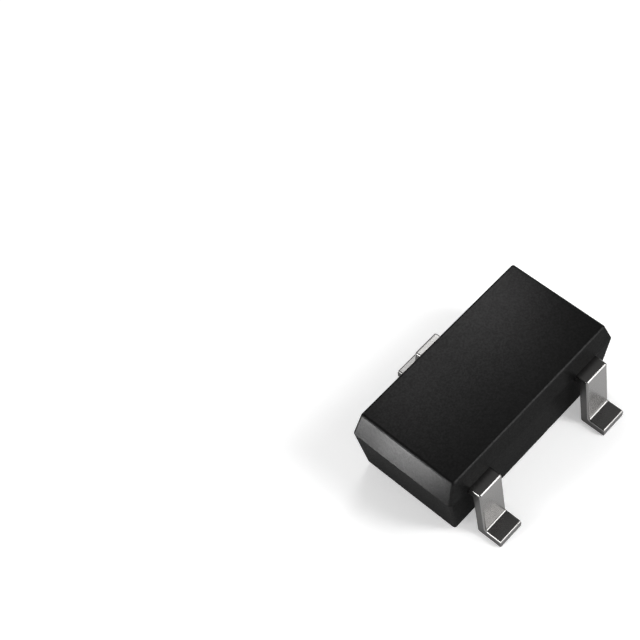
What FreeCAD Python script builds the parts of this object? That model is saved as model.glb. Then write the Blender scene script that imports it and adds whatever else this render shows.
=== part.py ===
import FreeCAD, Part
import math
import os

# A MOSFET in a three-lead surface-mount package. All lengths are in millimetres.
# The origin lies on the board under the middle of the body. X runs along the body,
# +Y points to the side with the single drain lead, and +Z points up from the board.

# Moulded body
body_length = 2.90  # along X at the parting line
body_width = 1.45  # along Y at the parting line
standoff = 0.06  # gap between the board and the underside of the body
lower_depth = 0.805  # body height below the parting line
upper_depth = 0.335  # body height above the parting line
end_draft_above = 0.112  # how far each end leans in, from the parting line to the top
side_draft_above = 0.046  # the same for each long side
end_draft_below = 0.133  # how far each end leans in, from the parting line to the underside
side_draft_below = 0.048  # the same for each long side
corner_radius = 0.035  # upright corners of the body, seen from above
top_edge_radius = 0.025
bottom_edge_radius = 0.025

# Lead frame strip and the formed part of each lead
lead_thickness = 0.12
lead_width = 0.37
lead_pitch = 1.90  # from the gate lead to the source lead
stub_length = 0.168  # from the body to the outer corner of the upper bend
leg_spread = 0.08  # how far the leg leans out on its way down to the foot
foot_length = 0.227  # upper face of the foot, from the leg to the tip
outer_bend_radius = 0.03
inner_bend_radius = 0.02
lead_edge_radius = 0.015  # rounding that stamping and plating leave on the edges
root_depth = 0.03  # how far the rounded section runs on inside the body

# Bond posts at the inner ends of the gate and source leads
post_cover = 0.13  # moulding compound between a post and the long side of the body
post_depth = 0.45  # along Y
post_inward = 0.25  # from the middle of the lead towards the paddle
post_outward = 0.25  # from the middle of the lead towards the end of the body
plan_corner_radius = 0.04
lock_notch_radius = 0.045  # half-round notches that the compound grips

# Die paddle at the inner end of the drain lead
drain_root = 0.14  # level stretch of the drain lead inside the body
downset = 0.20  # how far the paddle lies below the rest of the frame
downset_run = 0.16  # length of the slope along Y
paddle_cover = 0.26  # moulding compound between the paddle and the front side of the body
paddle_gap = 0.10  # from the paddle to each post, along X

# Die and its solder
solder_thickness = 0.02
solder_spread = 0.03  # how far the solder runs out past the die
die_end_margin = 0.20  # from the die to the ends of the paddle
die_side_margin = 0.12  # from the die to the long sides of the paddle
die_thickness = 0.15
pad_thickness = 0.005
pad_margin = 0.04  # from the pads to the edge of the die
gate_pad_size = 0.16
pad_spacing = 0.03  # between the gate pad and the source pad

# Bond wires
gate_wire_diameter = 0.03
source_wire_diameter = 0.05
source_wire_spacing = 0.16  # between the two source wires
loop_rise = 0.15  # top of each wire's centre line above the posts
loop_kink = 0.04  # how much of the loop the slanting kink over the ball takes each way
ball_width_ratio = 2.4  # width of a ball bond in wire diameters
ball_height_ratio = 0.8
stitch_length_ratio = 2.5
stitch_sink_ratio = 0.25  # height of the centre line above the post, in wire diameters
stitch_tip_ratio = 0.15  # thickness that is left at the tip of the stitch

# Heights and places that follow from the sizes above
parting_height = standoff + lower_depth
body_top = parting_height + upper_depth
lead_top = parting_height
lead_bottom = lead_top - lead_thickness
paddle_top = lead_top - downset
die_bottom = paddle_top + solder_thickness
pad_top = die_bottom + die_thickness + pad_thickness
side_y = body_width / 2
bend_y = side_y + stub_length
foot_y = bend_y + leg_spread
tip_y = foot_y + foot_length
root_y = side_y - root_depth
post_front_y = side_y - post_cover
slope_top_y = side_y - drain_root
paddle_back_y = slope_top_y - downset_run
paddle_front_y = -side_y + paddle_cover
paddle_width = paddle_back_y - paddle_front_y
paddle_middle_y = (paddle_back_y + paddle_front_y) / 2
paddle_length = lead_pitch - 2 * (post_inward + paddle_gap)
die_length = paddle_length - 2 * die_end_margin
die_width = paddle_width - 2 * die_side_margin

up = FreeCAD.Vector(0, 0, 1)
mitred = 1  # how a sweep turns a corner: its straight runs meet on the bisecting plane


def vector(x, y, z):
    return FreeCAD.Vector(x, y, z)


def corner_arc(before, corner, after, radius):
    """Start, middle and end of the tangent arc that rounds one corner."""
    back = (before - corner).normalize()
    onward = (after - corner).normalize()
    half_angle = back.getAngle(onward) / 2
    setback = radius / math.tan(half_angle)
    bisector = (back + onward).normalize()
    middle = corner + bisector * (radius / math.sin(half_angle) - radius)
    return corner + back * setback, middle, corner + onward * setback


def outline(corners):
    """Closed wire of straight runs and tangent arcs through (point, corner radius) pairs."""
    stops = []
    for i, (point, radius) in enumerate(corners):
        if radius == 0:
            stops.append((point, None, point))
        else:
            after = corners[(i + 1) % len(corners)][0]
            stops.append(corner_arc(corners[i - 1][0], point, after, radius))
    edges = []
    for i, (start, middle, end) in enumerate(stops):
        if middle is not None:
            edges.append(Part.Arc(start, middle, end).toShape())
        edges.append(Part.makeLine(end, stops[(i + 1) % len(stops)][0]))
    return Part.Wire(edges)


def plate(x_low, x_high, y_low, y_high, z_low, thickness, radius):
    """Flat plate with rounded upright corners."""
    points = [(x_low, y_low), (x_high, y_low), (x_high, y_high), (x_low, y_high)]
    wire = outline([(vector(x, y, z_low), radius) for x, y in points])
    return Part.Face(wire).extrude(up * thickness)


def strip(profile, width):
    """Strip as wide as given, centred on X = 0, from a side profile of (y, z, radius)."""
    wire = outline([(vector(-width / 2, y, z), radius) for y, z, radius in profile])
    return Part.Face(wire).extrude(vector(width, 0, 0))


def body_section(end_inset, side_inset, z):
    """Rounded rectangle that the body has at one height."""
    x = body_length / 2 - end_inset
    y = body_width / 2 - side_inset
    points = [(-x, -y), (x, -y), (x, y), (-x, y)]
    return outline([(vector(px, py, z), corner_radius) for px, py in points])


def drafted_block(low, high):
    """Solid between two outlines with equal corner radii: flat walls and leaning round corners."""
    walls = []
    for a, b in zip(low.OrderedEdges, high.OrderedEdges):
        if isinstance(a.Curve, Part.Line):
            points = [a.firstVertex().Point, a.lastVertex().Point]
            points += [b.lastVertex().Point, b.firstVertex().Point]
            walls.append(Part.Face(Part.makePolygon(points + points[:1])))
        else:
            walls.append(a.extrude(b.Curve.Center - a.Curve.Center))
    shell = Part.Shell(walls + [Part.Face(low), Part.Face(high)])
    shell.sewShape()
    block = Part.Solid(shell)
    return block if block.Volume > 0 else block.reversed()


def edges_at_height(shape, z):
    return [e for e in shape.Edges if all(abs(v.Z - z) < 1e-6 for v in e.Vertexes)]


def body_block():
    """The body as it leaves the mould, before the room for what it encloses is taken out."""
    bottom = body_section(end_draft_below, side_draft_below, standoff)
    middle = body_section(0, 0, parting_height)
    top = body_section(end_draft_above, side_draft_above, body_top)
    lower = drafted_block(bottom, middle)
    lower = lower.makeFillet(bottom_edge_radius, edges_at_height(lower, standoff))
    upper = drafted_block(middle, top)
    upper = upper.makeFillet(top_edge_radius, edges_at_height(upper, body_top))
    return lower.fuse(upper).removeSplitter()


def formed_lead():
    """Gull-wing part of a lead on the +Y side: stub, leg and foot, with rounded edges."""
    lean = math.atan2(leg_spread, lead_top - lead_thickness)
    leg_depth = lead_thickness / math.cos(lean)
    heel_y = bend_y + lead_top * math.tan(lean) - leg_depth
    under_y = bend_y + lead_thickness * math.tan(lean) - leg_depth
    profile = [
        (root_y, lead_top, 0),
        (bend_y, lead_top, outer_bend_radius),
        (foot_y, lead_thickness, inner_bend_radius),
        (tip_y, lead_thickness, 0),
        (tip_y, 0, 0),
        (heel_y, 0, outer_bend_radius),
        (under_y, lead_bottom, inner_bend_radius),
        (root_y, lead_bottom, 0),
    ]
    lead = strip(profile, lead_width)
    return lead.makeFillet(lead_edge_radius, upper_rim(lead))


def upper_rim(lead):
    """Edges round a formed lead's upper face, which stamping rounds, apart from its inner end."""
    upper = []
    for face in lead.Faces:
        u_low, u_high, v_low, v_high = face.ParameterRange
        if face.normalAt((u_low + u_high) / 2, (v_low + v_high) / 2).z > 1e-6:
            upper.append(face)
    edges = [e for face in upper for e in face.Edges]
    rim = [e for e in edges if sum(e.isSame(other) for other in edges) == 1]
    return [e for e in rim if any(abs(v.Y - root_y) > 1e-6 for v in e.Vertexes)]


def with_lock_notches(shape, places, z_low):
    """Takes a half-round notch out of the frame at each (x, y) place on its edge."""
    notches = [
        Part.makeCylinder(lock_notch_radius, lead_thickness, vector(x, y, z_low)) for x, y in places
    ]
    return shape.cut(notches)


def front_lead(side):
    """Gate lead for side -1 and source lead for side +1, with its bond post."""
    x = side * lead_pitch / 2
    lead = formed_lead()
    lead.rotate(vector(0, 0, 0), up, 180)
    lead.translate(vector(x, 0, 0))
    half = lead_width / 2
    neck = plate(x - half, x + half, -root_y, -post_front_y + 2 * plan_corner_radius,
                 lead_bottom, lead_thickness, 0)
    notch_y = -(root_y + post_front_y) / 2
    neck = with_lock_notches(neck, [(x - half, notch_y), (x + half, notch_y)], lead_bottom)
    ends = sorted((x - side * post_inward, x + side * post_outward))
    post = plate(ends[0], ends[1], -post_front_y, -post_front_y + post_depth,
                 lead_bottom, lead_thickness, plan_corner_radius)
    return lead.fuse([neck, post]).removeSplitter()


def drain_lead():
    """Drain lead, with the slope down to the die paddle and the paddle itself."""
    angle = math.atan2(downset, downset_run)
    shift = lead_thickness * math.tan(angle / 2)
    overlap = 2 * plan_corner_radius
    profile = [
        (root_y, lead_top, 0),
        (slope_top_y, lead_top, inner_bend_radius),
        (paddle_back_y, paddle_top, inner_bend_radius),
        (paddle_back_y - overlap, paddle_top, 0),
        (paddle_back_y - overlap, paddle_top - lead_thickness, 0),
        (paddle_back_y + shift, paddle_top - lead_thickness, inner_bend_radius),
        (slope_top_y + shift, lead_bottom, inner_bend_radius),
        (root_y, lead_bottom, 0),
    ]
    slope = strip(profile, lead_width)
    half = paddle_length / 2
    z_low = paddle_top - lead_thickness
    paddle = plate(-half, half, paddle_front_y, paddle_back_y, z_low, lead_thickness,
                   plan_corner_radius)
    notch_places = [(-half, paddle_middle_y), (half, paddle_middle_y)]
    paddle = with_lock_notches(paddle, notch_places, z_low)
    return formed_lead().fuse([slope, paddle]).removeSplitter()


def centred_rectangle(length, width, z):
    """Sharp rectangle over the middle of the paddle."""
    x = length / 2
    y_low = paddle_middle_y - width / 2
    y_high = paddle_middle_y + width / 2
    points = [(-x, y_low), (x, y_low), (x, y_high), (-x, y_high)]
    return outline([(vector(px, py, z), 0) for px, py in points])


def die_attach_solder():
    """Thin layer of solder, wider on the paddle than under the die."""
    spread = 2 * solder_spread
    bottom = centred_rectangle(die_length + spread, die_width + spread, paddle_top)
    top = centred_rectangle(die_length, die_width, die_bottom)
    return Part.makeLoft([bottom, top], True, True)


def gate_pad_corner():
    """Outer corner of the gate pad, at the front of the die on the gate's side."""
    x = -die_length / 2 + pad_margin
    y = paddle_middle_y - die_width / 2 + pad_margin
    return x, y


def silicon_die():
    """Die with a square gate pad in one corner and a source pad over the rest."""
    chip = Part.Face(centred_rectangle(die_length, die_width, die_bottom))
    chip = chip.extrude(up * die_thickness)
    z = die_bottom + die_thickness
    x, y = gate_pad_corner()
    gate = plate(x, x + gate_pad_size, y, y + gate_pad_size, z, pad_thickness, 0)
    x_far = die_length / 2 - pad_margin
    y_far = paddle_middle_y + die_width / 2 - pad_margin
    step_x = x + gate_pad_size + pad_spacing
    step_y = y + gate_pad_size + pad_spacing
    points = [(step_x, y), (x_far, y), (x_far, y_far), (x, y_far), (x, step_y), (step_x, step_y)]
    wire = outline([(vector(px, py, z), 0) for px, py in points])
    source = Part.Face(wire).extrude(up * pad_thickness)
    return chip.fuse([gate, source])


def ball_bond(diameter):
    """Squashed ball at the start of a wire, standing on the die's pad."""
    ball_height = ball_height_ratio * diameter
    ball_radius = ball_width_ratio * diameter / 2
    ball = Part.makeSphere(ball_radius, vector(0, 0, pad_top + ball_height / 2))
    slab = Part.makeBox(4 * ball_radius, 4 * ball_radius, ball_height,
                        vector(-2 * ball_radius, -2 * ball_radius, pad_top))
    return ball.common(slab)


def bond_wire(diameter, pad, post):
    """Wire from a ball bond on the die to a stitch bond on a post, both given as (x, y)."""
    span = math.hypot(post[0] - pad[0], post[1] - pad[1])
    stitch = stitch_length_ratio * diameter
    loop_z = lead_top + loop_rise
    land_z = lead_top + stitch_sink_ratio * diameter
    start_z = pad_top + ball_height_ratio * diameter / 2
    path = [(0, start_z), (0, loop_z - loop_kink), (loop_kink, loop_z),
            ((span - stitch) / 2, loop_z), (span - stitch, land_z), (span, land_z)]
    path = Part.makePolygon([vector(x, 0, z) for x, z in path])
    section = Part.Wire(Part.makeCircle(diameter / 2, vector(0, 0, start_z), up))
    wire = path.makePipeShell([section], True, False, mitred)
    wire = wire.fuse(ball_bond(diameter)).cut(stitch_tools(diameter, span, stitch))
    turn = math.degrees(math.atan2(post[1] - pad[1], post[0] - pad[0]))
    wire.rotate(vector(0, 0, 0), up, turn)
    wire.translate(vector(pad[0], pad[1], 0))
    return wire


def stitch_tools(diameter, span, stitch):
    """What the bonding tool presses away: the wire below the post's face, and a sloping top."""
    deep = 4 * diameter
    full = lead_top + (stitch_sink_ratio + 0.5) * diameter
    thin = lead_top + stitch_tip_ratio * diameter
    below = [(span / 2, lead_top - deep), (span + deep, lead_top - deep), (span + deep, lead_top),
             (span / 2, lead_top)]
    above = [(span - stitch, full), (span, thin), (span + deep, thin), (span + deep, full + deep),
             (span - stitch, full + deep)]
    tools = []
    for points in (below, above):
        wire = outline([(vector(x, -deep, z), 0) for x, z in points])
        tools.append(Part.Face(wire).extrude(vector(0, 2 * deep, 0)))
    return tools


def bond_wires():
    """One wire to the gate post and two side by side to the source post."""
    post_x = lead_pitch / 2
    post_y = -post_front_y + post_depth / 2
    gate_x, gate_y = gate_pad_corner()
    half_pad = gate_pad_size / 2
    gate_start = (gate_x + half_pad, gate_y + half_pad)
    wires = {"gate_bond_wire": bond_wire(gate_wire_diameter, gate_start, (-post_x, post_y))}
    source_x = die_length / 4
    for number, side in ((1, -1), (2, 1)):
        offset = side * source_wire_spacing / 2
        start = (source_x, paddle_middle_y + offset)
        end = (post_x, post_y + offset)
        wires[f"source_bond_wire_{number}"] = bond_wire(source_wire_diameter, start, end)
    return wires


def enclosed_pieces():
    """Everything that the moulding compound flows round."""
    pieces = {
        "gate_lead": front_lead(-1),
        "source_lead": front_lead(1),
        "drain_lead": drain_lead(),
        "die_attach_solder": die_attach_solder(),
        "silicon_die": silicon_die(),
    }
    pieces.update(bond_wires())
    return pieces


pieces = enclosed_pieces()
pieces["package_body"] = body_block().cut(list(pieces.values()))
os.makedirs("parts", exist_ok=True)
for name, shape in pieces.items():
    shape.exportStep(f"parts/{name}.step")
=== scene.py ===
import bmesh
import bpy
import math
from mathutils import Matrix, Vector


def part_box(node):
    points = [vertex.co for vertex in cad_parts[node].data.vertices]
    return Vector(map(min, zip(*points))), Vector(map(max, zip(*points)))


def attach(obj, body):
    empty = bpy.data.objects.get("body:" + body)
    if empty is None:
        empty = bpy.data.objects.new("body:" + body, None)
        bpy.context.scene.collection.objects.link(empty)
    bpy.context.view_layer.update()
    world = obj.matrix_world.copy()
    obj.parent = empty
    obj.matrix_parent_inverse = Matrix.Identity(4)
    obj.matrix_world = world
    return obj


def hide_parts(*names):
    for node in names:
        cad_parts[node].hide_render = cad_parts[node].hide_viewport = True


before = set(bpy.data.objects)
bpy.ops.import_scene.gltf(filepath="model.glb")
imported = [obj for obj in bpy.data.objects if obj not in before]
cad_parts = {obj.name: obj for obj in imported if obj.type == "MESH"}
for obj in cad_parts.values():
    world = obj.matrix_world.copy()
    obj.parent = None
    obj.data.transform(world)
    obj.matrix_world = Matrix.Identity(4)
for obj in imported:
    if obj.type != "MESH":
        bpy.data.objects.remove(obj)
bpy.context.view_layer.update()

# Gate and source leads. Each is one strip of copper alloy, stamped from the lead frame, tinned
# and formed into a gull wing: stub, leg and foot. Its inner end widens to a bond post, which the
# moulding compound holds by two half-round notches. Sizes are in millimetres.
mm = 0.001
thickness = 0.12
lead_width = 0.37
root_depth = 0.03  # how far the rounded section runs on inside the body
stub_length = 0.168  # from the body to the outer corner of the upper bend
leg_spread = 0.08  # how far the leg leans out on its way down to the foot
outer_bend = 0.03
inner_bend = 0.02
rolled_edge = 0.022
cut_edge = 0.006
plan_corner = 0.04
notch = 0.045
bend_segments = 8
edge_segments = 5
cut_segments = 2

lead_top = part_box("gate_lead")[1].z / mm
lead_bottom = lead_top - thickness
tip_y = -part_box("gate_lead")[0].y / mm
side_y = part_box("package_body")[1].y / mm
root_y = side_y - root_depth
bend_y = side_y + stub_length
foot_y = bend_y + leg_spread
lean = math.atan2(foot_y - bend_y, lead_top - thickness)
leg_depth = thickness / math.cos(lean)
heel_y = bend_y + lead_top * math.tan(lean) - leg_depth
under_y = bend_y + thickness * math.tan(lean) - leg_depth

# Sections of the formed part: (y, z) on the upper face, (y, z) on the lower one, bend radii
gull_wing = [
    ((root_y, lead_top), (root_y, lead_bottom), 0, 0),
    ((bend_y, lead_top), (under_y, lead_bottom), outer_bend, inner_bend),
    ((foot_y, thickness), (heel_y, 0), inner_bend, outer_bend),
    ((tip_y, thickness), (tip_y, 0), 0, 0),
]

hair = 1e-5  # places less than this apart count as one
least_turn = 1e-4  # faces that turn less than this, in radians, count as level with each other
nearly_square = math.radians(80)
smooth_limit = math.radians(35)  # faces that turn less than this are shaded as one


def bevel(bm, geom, offset, segments, affect="EDGES"):
    """Rounds edges or corners with a true arc."""
    bmesh.ops.bevel(bm, geom=geom, offset=offset, offset_type="OFFSET", segments=segments,
                    profile=0.5, affect=affect, clamp_overlap=False, material=-1)


def whole_outline(right_half):
    """The right half of a plan, joined to its mirror image."""
    return right_half + [(-x, y, radius) for x, y, radius in reversed(right_half)]


def flat_blank(outline, low):
    """Flat stamping from the (x, y, corner radius) points of its plan."""
    bm = bmesh.new()
    corners = [bm.verts.new((x, y, low)) for x, y, radius in outline]
    bm.faces.new(corners)
    for wanted in sorted({radius for x, y, radius in outline if radius}):
        rounded = [v for v, (x, y, radius) in zip(corners, outline) if radius == wanted]
        bevel(bm, rounded, wanted, bend_segments, "VERTICES")
    raised = bmesh.ops.extrude_face_region(bm, geom=bm.faces[:])["geom"]
    raised = [g for g in raised if isinstance(g, bmesh.types.BMVert)]
    bmesh.ops.translate(bm, vec=(0, 0, thickness), verts=raised)
    bmesh.ops.recalc_face_normals(bm, faces=bm.faces)
    return bm


def is_at(v, point):
    """Tells whether a corner lies at this (y, z)."""
    return math.dist(v.co.yz, point) < hair


def is_formed(v):
    """Tells whether a corner lies past the root, on the formed part of the lead."""
    return v.co.y > root_y + hair


def draw_out(bm, sections):
    """Draws the end face of the blank out through the sections, one extrusion for each."""
    outer, inner = sections[0][:2]
    end = next(f for f in bm.faces if abs(f.calc_center_median().x) < hair
               and all(is_at(v, outer) or is_at(v, inner) for v in f.verts))
    for outer_next, inner_next, *_ in sections[1:]:
        drawn = bmesh.ops.extrude_face_region(bm, geom=[end])["geom"]
        bmesh.ops.delete(bm, geom=[end], context="FACES_ONLY")
        end = next(g for g in drawn if isinstance(g, bmesh.types.BMFace))
        for v in end.verts:
            v.co.yz = outer_next if is_at(v, outer) else inner_next
        outer, inner = outer_next, inner_next
    bmesh.ops.remove_doubles(bm, verts=bm.verts, dist=hair)


def round_bends(bm, sections):
    """Gives each bend its radius, on the upper and on the lower face."""
    for outer, inner, outer_radius, inner_radius in sections:
        for point, radius in ((outer, outer_radius), (inner, inner_radius)):
            if radius:
                bend = [e for e in bm.edges if all(is_at(v, point) for v in e.verts)
                        and abs(sum(v.co.x for v in e.verts)) < hair]
                turn = bend[0].calc_face_angle()
                bevel(bm, bend, radius * math.tan(turn / 2), bend_segments)


def ease_edges(bm):
    """Rounds the rolled rim of the upper face widely, and the cut edges round the rest finely."""
    # Each flank is made whole first, so that its rounding doesn't fold at the section lines
    flat = [e for e in bm.edges if e.calc_face_angle(1) < least_turn
            and all(is_formed(v) for v in e.verts)]
    bmesh.ops.dissolve_edges(bm, edges=flat, use_verts=False)
    outside = [f for f in bm.faces if all(v.co.y > root_y - hair for v in f.verts)]
    upper = [f for f in outside if f.normal.z > least_turn]
    rim = [e for f in upper for e in f.edges if sum(g in upper for g in e.link_faces) == 1]
    rim = [e for e in rim if any(is_formed(v) for v in e.verts)]
    bevel(bm, rim, rolled_edge, edge_segments)
    cut = [e for e in bm.edges if e.calc_face_angle(0) > nearly_square
           and all(is_formed(v) for v in e.verts)]
    bevel(bm, cut, cut_edge, cut_segments)


def mark_sheared(bm):
    """Marks the upright faces, which the punch cut: the flanks and the tips, whose tin is painted
    darker as shade.
    """
    sheared = bm.faces.layers.float.new("sheared")
    bm.normal_update()
    for f in bm.faces:
        f[sheared] = abs(f.normal.z) < least_turn


def formed_lead(outline, low, sections):
    """One lead from its blank's plan and height and the sections that it is formed through."""
    bm = flat_blank(outline, low)
    draw_out(bm, sections)
    round_bends(bm, sections)
    bm.normal_update()
    ease_edges(bm)
    mark_sheared(bm)
    return bm


def new_object(name, data):
    """Puts a mesh, a lamp or a camera into the scene."""
    made = bpy.data.objects.new(name, data)
    bpy.context.scene.collection.objects.link(made)
    return made


def mesh_object(name, bm):
    """Puts a finished shape into the scene."""
    mesh = bpy.data.meshes.new(name)
    bm.to_mesh(mesh)
    bm.free()
    return new_object(name, mesh)


def smooth_piece(name, bm):
    """Puts a shape made in millimetres into the scene, smooth except at its corners."""
    bmesh.ops.scale(bm, vec=(mm, mm, mm), verts=bm.verts)
    piece = mesh_object(name, bm)
    piece.data.polygons.foreach_set("use_smooth", [True] * len(piece.data.polygons))
    piece.data.set_sharp_from_angle(angle=smooth_limit)
    return piece


def apply_modifiers(piece):
    """Makes what the modifiers give the piece's own mesh."""
    shaped = piece.evaluated_get(bpy.context.evaluated_depsgraph_get())
    mesh = bpy.data.meshes.new_from_object(shaped)
    piece.modifiers.clear()
    piece.data = mesh


def even_shading(piece):
    """Weights the shading by the faces' area, so that the flat faces look flat.

    The modifier ignores areas as small as these are in square metres, so the mesh is in
    millimetres while it works.
    """
    piece.data.transform(Matrix.Scale(1 / mm, 4))
    piece.modifiers.new("even_shading", "WEIGHTED_NORMAL").keep_sharp = True
    apply_modifiers(piece)
    piece.data.transform(Matrix.Scale(mm, 4))


def stand_for(piece, replaced, material):
    """The piece rides on the root, in the place of a CAD node, with its own finish."""
    even_shading(piece)
    piece.data.materials.append(material)
    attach(piece, "root")
    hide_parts(replaced)


def linear(code):
    """An sRGB hex colour as linear RGBA."""
    parts = [int(code[i:i + 2], 16) / 255 for i in (1, 3, 5)]
    return [c / 12.92 if c < 0.04045 else ((c + 0.055) / 1.055) ** 2.4 for c in parts] + [1]


def add(tree, kind, inputs=None, **settings):
    """Adds a node with its settings. Each input is a value or the output that feeds it."""
    made = tree.nodes.new(kind)
    for name, value in settings.items():
        setattr(made, name, value)
    for name, value in (inputs or {}).items():
        if isinstance(value, bpy.types.NodeSocket):
            tree.links.new(value, made.inputs[name])
        else:
            made.inputs[name].default_value = value
    return made


def new_material(name):
    """An empty material, its tree and its Principled shader."""
    material = bpy.data.materials.new(name)
    material.use_nodes = True
    return material, material.node_tree, material.node_tree.nodes["Principled BSDF"]


# Satin tin on copper alloy. Rolling leaves faint lines along the strip, drawn here about three
# times as wide as real ones so that they show, and the plating has a fine cloudy grain. On the
# flanks it lies over the torn edge that the punch leaves, which makes them duller. Their much
# darker colour is painted shade, standing in for the dark that these faces would reflect.
tin_light = linear("#7f7e7d")
tin_dark = linear("#797877")
sheared_tin_painted_shade = linear("#403f3e")
sheared_roughness = 0.35
line_width = 0.02
line_length = 0.9
grain_size = 0.05
tin, tree, shader = new_material("satin_tin_plate")
place = add(tree, "ShaderNodeTexCoord").outputs["Object"]
stretch = (1 / (line_width * mm), 1 / (line_length * mm), 1 / (line_length * mm))
lines = add(tree, "ShaderNodeMapping", {"Vector": place, "Scale": stretch})
lines = add(tree, "ShaderNodeTexNoise", {"Vector": lines.outputs[0], "Scale": 1, "Detail": 2})
grain = {"Vector": place, "Scale": 1 / (grain_size * mm), "Detail": 3}
grain = add(tree, "ShaderNodeTexNoise", grain)
both = {"Factor": 0.4, "A": lines.outputs["Fac"], "B": grain.outputs["Fac"]}
both = add(tree, "ShaderNodeMix", both, data_type="FLOAT").outputs["Result"]
colour = {"Factor": both, "A": tin_dark, "B": tin_light}
colour = add(tree, "ShaderNodeMix", colour, data_type="RGBA").outputs["Result"]
rough = {"Value": both, "From Min": 0.3, "From Max": 0.7, "To Min": 0.2, "To Max": 0.25}
rough = add(tree, "ShaderNodeMapRange", rough).outputs["Result"]
sheared = add(tree, "ShaderNodeAttribute", attribute_name="sheared").outputs["Fac"]
# Painted shade: the cut faces take a much darker tin, in place of the darker reflections there
colour = {"Factor": sheared, "A": colour, "B": sheared_tin_painted_shade}
colour = add(tree, "ShaderNodeMix", colour, data_type="RGBA")
rough = {"Factor": sheared, "A": rough, "B": sheared_roughness}
rough = add(tree, "ShaderNodeMix", rough, data_type="FLOAT")
relief = add(tree, "ShaderNodeBump", {"Height": both, "Strength": 0.02, "Distance": 0.002 * mm})
tree.links.new(colour.outputs["Result"], shader.inputs["Base Color"])
tree.links.new(rough.outputs["Result"], shader.inputs["Roughness"])
tree.links.new(relief.outputs[0], shader.inputs["Normal"])
shader.inputs["Metallic"].default_value = 1

post_cover = 0.13  # moulding compound between a post and the long side of the body
post_depth = 0.45
post_half = 0.25
post_front = side_y - post_cover
post_back = post_front - post_depth
neck_half = lead_width / 2
notch_y = (root_y + post_front) / 2
post_outline = whole_outline([
    (neck_half, root_y, 0),
    (neck_half, notch_y + notch, 0),
    (neck_half - notch, notch_y + notch, notch),
    (neck_half - notch, notch_y - notch, notch),
    (neck_half, notch_y - notch, 0),
    (neck_half, post_front, 0),
    (post_half, post_front, plan_corner),
    (post_half, post_back, plan_corner),
])

leads = []
for node in ("gate_lead", "source_lead"):
    bm = formed_lead(post_outline, lead_bottom, gull_wing)
    bmesh.ops.rotate(bm, cent=(0, 0, 0), matrix=Matrix.Rotation(math.pi, 3, "Z"), verts=bm.verts)
    middle = (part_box(node)[0].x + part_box(node)[1].x) / 2 / mm
    bmesh.ops.translate(bm, vec=(middle, 0, 0), verts=bm.verts)
    lead = smooth_piece(f"tinned_{node}", bm)
    stand_for(lead, node, tin)
    leads.append(lead)

# Drain lead. The same strip with the same gull wing, which slopes down inside the body to the
# paddle that carries the die. It is one piece of metal, so the die's heat leaves through it.
drain_root = 0.14  # level stretch of the drain lead inside the body
downset_run = 0.16  # length of the slope along Y
paddle_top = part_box("die_attach_solder")[0].z / mm
paddle_bottom = paddle_top - thickness
paddle_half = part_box("drain_lead")[1].x / mm
paddle_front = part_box("drain_lead")[0].y / mm
slope_top = side_y - drain_root
paddle_back = slope_top - downset_run
slope = math.atan2(lead_top - paddle_top, slope_top - paddle_back)
shift = thickness * math.tan(slope / 2)
downset = [
    ((paddle_back, paddle_top), (paddle_back, paddle_bottom), 0, 0),
    ((paddle_back, paddle_top), (paddle_back + shift, paddle_bottom), inner_bend, inner_bend),
    ((slope_top, lead_top), (slope_top + shift, lead_bottom), inner_bend, inner_bend),
]
middle_y = (paddle_front + paddle_back) / 2
paddle_outline = whole_outline([
    (neck_half, paddle_back, 0),
    (paddle_half, paddle_back, plan_corner),
    (paddle_half, middle_y + notch, 0),
    (paddle_half - notch, middle_y + notch, notch),
    (paddle_half - notch, middle_y - notch, notch),
    (paddle_half, middle_y - notch, 0),
    (paddle_half, paddle_front, plan_corner),
])
lead = smooth_piece("tinned_drain_lead",
                    formed_lead(paddle_outline, paddle_bottom, downset + gull_wing))
stand_for(lead, "drain_lead", tin)
leads.append(lead)

# Die attach. A thin layer of high-lead soft solder between the paddle and the die, melted from
# a preform. It has run out a little past the die. Like the die and the wires, it keeps its CAD
# mesh and only takes a finish.
solder_light = linear("#a9abb0")
solder_dark = linear("#8c8e94")
frost_size = 0.012


def dress(node, material):
    """Gives a part of the CAD model its finish."""
    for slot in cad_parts[node].material_slots:
        slot.material = material


# Reflowed solder is a dull bluish grey with a slightly frosted, rippled skin
solder, tree, shader = new_material("reflowed_soft_solder")
place = add(tree, "ShaderNodeTexCoord").outputs["Object"]
frost = {"Vector": place, "Scale": 1 / (frost_size * mm), "Detail": 3}
frost = add(tree, "ShaderNodeTexNoise", frost).outputs["Fac"]
colour = {"Factor": frost, "A": solder_dark, "B": solder_light}
colour = add(tree, "ShaderNodeMix", colour, data_type="RGBA")
relief = {"Height": frost, "Strength": 0.4, "Distance": 0.001 * mm}
relief = add(tree, "ShaderNodeBump", relief)
tree.links.new(colour.outputs["Result"], shader.inputs["Base Color"])
tree.links.new(relief.outputs[0], shader.inputs["Normal"])
shader.inputs["Metallic"].default_value = 1
shader.inputs["Roughness"].default_value = 0.42
dress("die_attach_solder", solder)

# Die. A sawn chip of silicon with a small gate pad in one corner and a source pad over the rest,
# both of sputtered aluminium. Its back is soldered, so the silicon itself is the drain.
silicon_dark = linear("#3d4048")
silicon_light = linear("#4a4e58")
aluminium = linear("#dcdde0")
saw_line = 0.006
saw_line_length = 40 * saw_line
aluminium_grain = 0.01
pad_height = 0.005
pad_rim = 0.0001
pad_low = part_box("silicon_die")[1].z - pad_height / 2 * mm

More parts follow.
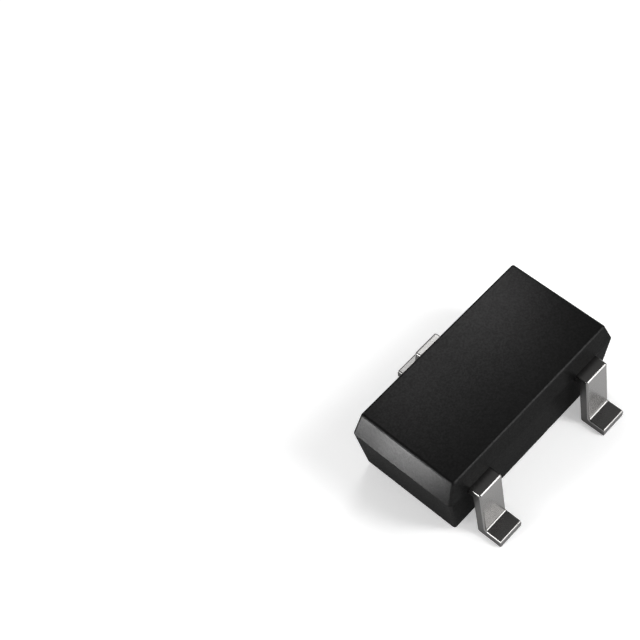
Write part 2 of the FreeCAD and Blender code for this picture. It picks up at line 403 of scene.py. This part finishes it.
# Silicon is a dark glossy blue-grey, and the saw leaves fine level lines on its sides. The pads
# stand above it, soft white and slightly grained, so the height tells the one from the other.
chip, tree, shader = new_material("sawn_silicon_with_aluminium_pads")
place = add(tree, "ShaderNodeTexCoord").outputs["Object"]
stretch = (1 / (saw_line_length * mm), 1 / (saw_line_length * mm), 1 / (saw_line * mm))
lines = add(tree, "ShaderNodeMapping", {"Vector": place, "Scale": stretch})
lines = add(tree, "ShaderNodeTexNoise", {"Vector": lines.outputs[0], "Scale": 1}).outputs["Fac"]
grain = {"Vector": place, "Scale": 1 / (aluminium_grain * mm), "Detail": 3}
grain = add(tree, "ShaderNodeTexNoise", grain).outputs["Fac"]
height = add(tree, "ShaderNodeSeparateXYZ", {"Vector": place}).outputs["Z"]
on_pad = {"Value": height, "From Min": pad_low, "From Max": pad_low + pad_rim * mm}
on_pad = add(tree, "ShaderNodeMapRange", on_pad).outputs["Result"]
colour = {"Factor": lines, "A": silicon_dark, "B": silicon_light}
colour = add(tree, "ShaderNodeMix", colour, data_type="RGBA").outputs["Result"]
colour = {"Factor": on_pad, "A": colour, "B": aluminium}
colour = add(tree, "ShaderNodeMix", colour, data_type="RGBA").outputs["Result"]
rough = {"Value": grain, "To Min": 0.2, "To Max": 0.4}
rough = add(tree, "ShaderNodeMapRange", rough).outputs["Result"]
relief = add(tree, "ShaderNodeMix", {"Factor": on_pad, "A": lines, "B": grain}).outputs["Result"]
relief = {"Height": relief, "Strength": 0.3, "Distance": 0.0005 * mm}
relief = add(tree, "ShaderNodeBump", relief)
tree.links.new(colour, shader.inputs["Base Color"])
tree.links.new(rough, shader.inputs["Roughness"])
tree.links.new(on_pad, shader.inputs["Metallic"])
tree.links.new(relief.outputs[0], shader.inputs["Normal"])
dress("silicon_die", chip)

# Bond wires. One thin wire from the gate pad and two thicker ones from the source pad, each of
# drawn copper, welded as a ball on the pad and pressed flat as a stitch on its post.
copper_light = linear("#e0a27c")
copper_dark = linear("#cc8a66")
draw_line = 0.004
draw_line_length = 40 * draw_line

# Drawing leaves copper bright, warm and smooth, with faint lines along the wire
copper, tree, shader = new_material("drawn_copper_wire")
place = add(tree, "ShaderNodeTexCoord").outputs["Object"]
stretch = (1 / (draw_line_length * mm), 1 / (draw_line * mm), 1 / (draw_line * mm))
lines = add(tree, "ShaderNodeMapping", {"Vector": place, "Scale": stretch})
lines = add(tree, "ShaderNodeTexNoise", {"Vector": lines.outputs[0], "Scale": 1}).outputs["Fac"]
colour = {"Factor": lines, "A": copper_dark, "B": copper_light}
colour = add(tree, "ShaderNodeMix", colour, data_type="RGBA")
relief = add(tree, "ShaderNodeBump", {"Height": lines, "Strength": 0.3, "Distance": 0.0003 * mm})
tree.links.new(colour.outputs["Result"], shader.inputs["Base Color"])
tree.links.new(relief.outputs[0], shader.inputs["Normal"])
shader.inputs["Metallic"].default_value = 1
shader.inputs["Roughness"].default_value = 0.25
wires = ("gate_bond_wire", "source_bond_wire_1", "source_bond_wire_2")
for node in wires:
    dress(node, copper)

# Moulded body. One block of epoxy filled with silica and carbon black, transfer-moulded round
# the frame. The two halves of the mould meet at the leads' upper face, and both walls have draft.
half_x, half_y, body_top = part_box("package_body")[1] / mm
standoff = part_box("package_body")[0].z / mm
drafts_above = (0.112, 0.046)  # how far the ends and the long sides lean in, up to the top
drafts_below = (0.133, 0.048)  # the same, down to the underside
corner_radius = 0.035
top_edge = 0.03
bottom_edge = 0.025
corner_segments = 8

# Black epoxy moulding compound. Its filler makes the black slightly cloudy. The spark-eroded
# mould breaks the resin skin into a fine even grain. Only the tops of the grains keep its gloss,
# so the gloss is a strong coat with little weight that changes from grain to grain, and the whole
# looks satin with a fine sparkle.
black_dark = linear("#0a0a0a")
black_light = linear("#0f0f0f")
spark_grain = 0.022
cloud_size = 12 * spark_grain
epoxy, tree, shader = new_material("spark_eroded_black_epoxy")
place = add(tree, "ShaderNodeTexCoord").outputs["Object"]
grain = {"Vector": place, "Scale": 1 / (spark_grain * mm), "Detail": 2, "Roughness": 0.6}
grain = add(tree, "ShaderNodeTexNoise", grain).outputs["Fac"]
cloud = {"Vector": place, "Scale": 1 / (cloud_size * mm), "Detail": 2}
cloud = add(tree, "ShaderNodeTexNoise", cloud).outputs["Fac"]
colour = {"Factor": cloud, "A": black_dark, "B": black_light}
colour = add(tree, "ShaderNodeMix", colour, data_type="RGBA")
relief = {"Height": grain, "Strength": 0.3, "Distance": 0.003 * mm}
relief = add(tree, "ShaderNodeBump", relief)
gloss = {"Value": grain, "From Min": 0.35, "From Max": 0.65, "To Min": 0.055, "To Max": 0.09}
gloss = add(tree, "ShaderNodeMapRange", gloss)
tree.links.new(colour.outputs["Result"], shader.inputs["Base Color"])
tree.links.new(relief.outputs[0], shader.inputs["Normal"])
tree.links.new(relief.outputs[0], shader.inputs["Coat Normal"])
tree.links.new(gloss.outputs[0], shader.inputs["Coat Weight"])
shader.inputs["Roughness"].default_value = 0.7
shader.inputs["Specular IOR Level"].default_value = 0
shader.inputs["Coat Roughness"].default_value = 0.33
shader.inputs["Coat IOR"].default_value = 2.2

bm = bmesh.new()
bmesh.ops.create_grid(bm, x_segments=1, y_segments=1, size=1)
bmesh.ops.scale(bm, vec=(half_x, half_y, 1), verts=bm.verts)
bmesh.ops.translate(bm, vec=(0, 0, lead_top), verts=bm.verts)
bevel(bm, bm.verts[:], corner_radius, corner_segments, "VERTICES")
parting = bm.edges[:]
for z, (end_draft, side_draft) in ((body_top, drafts_above), (standoff, drafts_below)):
    wall = bmesh.ops.extrude_edge_only(bm, edges=parting)["geom"]
    rim = [g for g in wall if isinstance(g, bmesh.types.BMVert)]
    bmesh.ops.translate(bm, vec=(0, 0, z - lead_top), verts=rim)
    bmesh.ops.scale(bm, vec=(1 - end_draft / half_x, 1 - side_draft / half_y, 1), verts=rim)
    rim = [e for e in bm.edges if all(v in rim for v in e.verts)]
    bmesh.ops.contextual_create(bm, geom=rim)
inside = [f for f in bm.faces if all(abs(v.co.z - lead_top) < hair for v in f.verts)]
bmesh.ops.delete(bm, geom=inside, context="FACES_ONLY")
for z, radius in ((body_top, top_edge), (standoff, bottom_edge)):
    rim = [e for e in bm.edges if all(abs(v.co.z - z) < hair for v in e.verts)]
    bevel(bm, rim, radius, corner_segments)
bmesh.ops.recalc_face_normals(bm, faces=bm.faces)
body = smooth_piece("moulded_body", bm)

# The compound flows round everything on the frame, so each of these leaves its own shape in it
casts = []
for node in ("die_attach_solder", "silicon_die", *wires):
    bm = bmesh.new()
    bm.from_mesh(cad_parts[node].data)
    bmesh.ops.remove_doubles(bm, verts=bm.verts, dist=hair * mm)
    casts.append(mesh_object(f"{node}_cast", bm))
for cast in leads + casts:
    hollow = body.modifiers.new(cast.name, "BOOLEAN")
    hollow.operation = "DIFFERENCE"
    hollow.solver = "EXACT"
    hollow.object = cast
apply_modifiers(body)
for cast in casts:
    bpy.data.objects.remove(cast)
body.data.set_sharp_from_angle(angle=smooth_limit)
# The mould halves meet in a crisp line
for edge in body.data.edges:
    if all(abs(body.data.vertices[v].co.z / mm - lead_top) < hair for v in edge.vertices):
        edge.use_edge_sharp = True
stand_for(body, "package_body", epoxy)

# Floor. A plain white sheet under the part, which reaches past every view. It glows a little to
# the camera and in gloss, so that it looks white, and still shows the part's shadow. Far from the
# part, where the lamps don't reach, the glow alone makes it white, so that no horizon shows.
floor_white = linear("#f7f7f7")
floor_glow = 0.35
floor_half = 500
near_floor = 12
far_floor = 45
bm = bmesh.new()
bmesh.ops.create_grid(bm, x_segments=1, y_segments=1, size=floor_half * mm)
floor = mesh_object("floor", bm)
paper, tree, shader = new_material("white_paper")
ray = add(tree, "ShaderNodeLightPath").outputs
seen = {0: ray["Is Camera Ray"], 1: ray["Is Glossy Ray"]}
seen = add(tree, "ShaderNodeMath", seen, operation="MAXIMUM").outputs[0]
seen = {0: seen, 1: ray["Is Transmission Ray"]}
seen = add(tree, "ShaderNodeMath", seen, operation="MAXIMUM").outputs[0]
place = add(tree, "ShaderNodeTexCoord").outputs["Object"]
far = add(tree, "ShaderNodeVectorMath", {0: place}, operation="LENGTH").outputs["Value"]
far = {"Value": far, "From Min": near_floor * mm, "From Max": far_floor * mm}
far = add(tree, "ShaderNodeMapRange", far, interpolation_type="SMOOTHSTEP").outputs["Result"]
glow = {"Factor": far, "A": floor_glow, "B": 1}
glow = add(tree, "ShaderNodeMix", glow, data_type="FLOAT").outputs["Result"]
glow = add(tree, "ShaderNodeMath", {0: seen, 1: glow}, operation="MULTIPLY").outputs[0]
colour = {"Factor": far, "A": floor_white, "B": (0, 0, 0, 1)}
colour = add(tree, "ShaderNodeMix", colour, data_type="RGBA").outputs["Result"]
tree.links.new(colour, shader.inputs["Base Color"])
tree.links.new(glow, shader.inputs["Emission Strength"])
shader.inputs["Emission Color"].default_value = (1, 1, 1, 1)
shader.inputs["Roughness"].default_value = 1
shader.inputs["Specular IOR Level"].default_value = 0
floor.data.materials.append(paper)

# Camera. It stands where the photograph was taken from, high up on the gate lead's side and
# turned a little, and looks past the part, which lies low on the right of the picture.
aim = Vector((-0.458, 2.185, 0.6))
distance = 18.908
azimuth = math.radians(-40.223)
elevation = math.radians(56.664)
roll = math.radians(-8.124)
back = Vector((math.sin(azimuth) * math.cos(elevation),
               -math.cos(azimuth) * math.cos(elevation), math.sin(elevation)))
camera = new_object("camera", bpy.data.cameras.new("camera"))
camera.location = (aim + back * distance) * mm
camera.rotation_euler = (back.to_track_quat("Z", "Y").to_matrix()
                         @ Matrix.Rotation(roll, 3, "Z")).to_euler()
camera.data.lens = 87.782
camera.data.clip_start = 0.1 * mm
bpy.context.scene.camera = camera

# Studio. A white horizon under a dimmer ceiling, and soft lamps. Two panels stand over the top's
# mirror direction and one over the drain lead's, and two low cards light the gate end. A strip on
# either side draws the leads' edges, and two panels in front light the long side and the legs.
bpy.context.scene.view_settings.view_transform = "Standard"
horizon = 1
ceiling = 0.22
horizon_height = math.radians(13)
ceiling_height = math.radians(30)
world = bpy.data.worlds.new("studio")
bpy.context.scene.world = world
world.use_nodes = True
tree = world.node_tree
height = add(tree, "ShaderNodeTexCoord").outputs["Generated"]
height = add(tree, "ShaderNodeSeparateXYZ", {"Vector": height}).outputs["Z"]
level = {"Value": height, "From Min": math.sin(horizon_height), "To Min": horizon,
         "From Max": math.sin(ceiling_height), "To Max": ceiling}
level = add(tree, "ShaderNodeMapRange", level, interpolation_type="SMOOTHSTEP").outputs["Result"]
tree.links.new(level, tree.nodes["Background"].inputs["Strength"])
tree.nodes["Background"].inputs["Color"].default_value = (1, 1, 1, 1)


def softbox(name, place, target, width, height, brightness, spread=180):
    """Flat lamp that looks from place to target, in millimetres and degrees.

    With the full spread it shines as white does at a brightness of 1, and a narrower spread
    makes it stronger.
    """
    lamp = new_object(name, bpy.data.lights.new(name, "AREA"))
    away = Vector(place) - Vector(target)
    lamp.location = Vector(place) * mm
    lamp.rotation_euler = away.to_track_quat("Z", "Y").to_euler()
    lamp.data.shape = "RECTANGLE"
    lamp.data.size = width * mm
    lamp.data.size_y = height * mm
    lamp.data.energy = brightness * math.pi * width * height * mm * mm
    lamp.data.spread = math.radians(spread)
    lamp.visible_camera = False


body_middle = (0, 0, 0.6)
body_top_middle = (0, 0, body_top)
body_back = (0, 0.3, 0.6)
softbox("top_panel_left", (1.19, 2.51, 5.53), body_top_middle, 1.2, 1.2, 6)
softbox("top_panel_right", (2.75, 2.23, 4.93), body_top_middle, 1.2, 1.2, 8.8)
softbox("top_panel_back", (2.15, 3.4, 5.2), body_back, 0.8, 0.8, 4)

# The cards stand low beside the gate end and look up at its upper wall
card_x = -3.2
card_height = 0.12
card_spread = 70
wall_x = -1.4
wall_height = 1.03
forward = 0.85
for y, brightness in ((0.6, 6.9), (1.6, 5.9)):
    wall = (wall_x, y - forward, wall_height)
    softbox("gate_end_card", (card_x, y, card_height), wall, 0.9, 0.9, brightness, card_spread)
softbox("edge_strip_left", (-55.3, 16.2, 17.5), body_middle, 10.8, 25, 17)
softbox("edge_strip_front", (23.4, -45.2, 31.7), body_middle, 18, 69, 6)
softbox("front_panel", (0, -194, 48.4), body_middle, 60, 60, 2.5)
softbox("leg_panel", (21.3, -35.2, 43.6), body_middle, 14, 14, 7)
